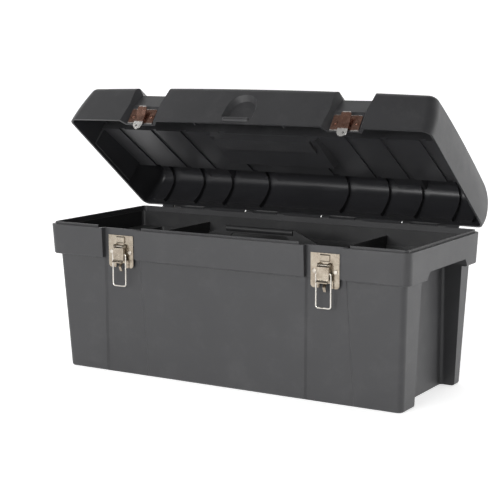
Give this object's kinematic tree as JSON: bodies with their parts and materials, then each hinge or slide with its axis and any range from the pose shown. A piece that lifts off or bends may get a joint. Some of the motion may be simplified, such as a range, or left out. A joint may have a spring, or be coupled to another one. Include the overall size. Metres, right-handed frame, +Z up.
{
  "type": "carpenter toolbox",
  "caption": "Long moulded toolbox with an arched hinged lid, folding top handle, lift-out tray and steel draw latches on the front.",
  "frame": {"origin": "centre of the tub's flat underside, which stands on the floor", "axes": "+X along the length, +Y towards the hinge, +Z up"},
  "size_m": [0.614, 0.3039, 0.4341],
  "materials": {
    "tub_plastic": "grained, slightly dusty grey",
    "lid_plastic": "grained charcoal",
    "tray_plastic": "smooth black",
    "handle_plastic": "smooth black",
    "latch_plate": "bright nickel plate",
    "bail_wire": "bright nickel plate",
    "rivet_steel": "zinc plated"
  },
  "bodies": {
    "tub": {"tub": "tub_plastic", "hinge_rod": "rivet_steel", "hinge_rod_caps": "rivet_steel", "latch_base_left": "latch_plate", "latch_base_right": "latch_plate", "lever_pin_left": "rivet_steel", "lever_pin_right": "rivet_steel", "latch_rivets_left": "rivet_steel", "latch_rivets_right": "rivet_steel", "latch_washers_left": "rivet_steel", "latch_washers_right": "rivet_steel"},
    "lid": {"lid": "lid_plastic", "keeper_left": "latch_plate", "keeper_right": "latch_plate", "keeper_rivets_left": "rivet_steel", "keeper_rivets_right": "rivet_steel", "keeper_washers_left": "rivet_steel", "keeper_washers_right": "rivet_steel", "handle_pin_left": "rivet_steel", "handle_pin_right": "rivet_steel"},
    "handle": {"lid_handle": "handle_plastic"},
    "tray": {"tray": "tray_plastic"},
    "lever_left": {"latch_lever_left": "latch_plate"},
    "lever_right": {"latch_lever_right": "latch_plate"},
    "bail_left": {"latch_bail_left": "bail_wire"},
    "bail_right": {"latch_bail_right": "bail_wire"}
  },
  "joints": [
    {"name": "lid_hinge", "type": "hinge", "parent": "tub", "child": "lid", "pos_m": [0, 0.1374, 0.2265], "axis": [-1, 0, 0], "range_deg": [-37.2, 67.8]},
    {"name": "handle_fold", "type": "hinge", "parent": "lid", "child": "handle", "pos_m": [0, 0.06341, 0.34305], "axis": [-1, 0, 0], "range_deg": [0, 90]},
    {"name": "tray_lift", "type": "slide", "parent": "tub", "child": "tray", "axis": [0, 0, 1], "range_m": [0, 0.065]},
    {"name": "lever_pivot_left", "type": "hinge", "parent": "tub", "child": "lever_left", "pos_m": [-0.174, -0.1204, 0.1995], "axis": [-1, 0, 0], "range_deg": [0, 120]},
    {"name": "bail_pivot_left", "type": "hinge", "parent": "lever_left", "child": "bail_left", "pos_m": [-0.174, -0.1216, 0.188], "axis": [1, 0, 0], "range_deg": [-182.9, 0]},
    {"name": "lever_pivot_right", "type": "hinge", "parent": "tub", "child": "lever_right", "pos_m": [0.174, -0.1204, 0.1995], "axis": [-1, 0, 0], "range_deg": [0, 120]},
    {"name": "bail_pivot_right", "type": "hinge", "parent": "lever_right", "child": "bail_right", "pos_m": [0.174, -0.1216, 0.188], "axis": [1, 0, 0], "range_deg": [-182.9, 0]}
  ]
}
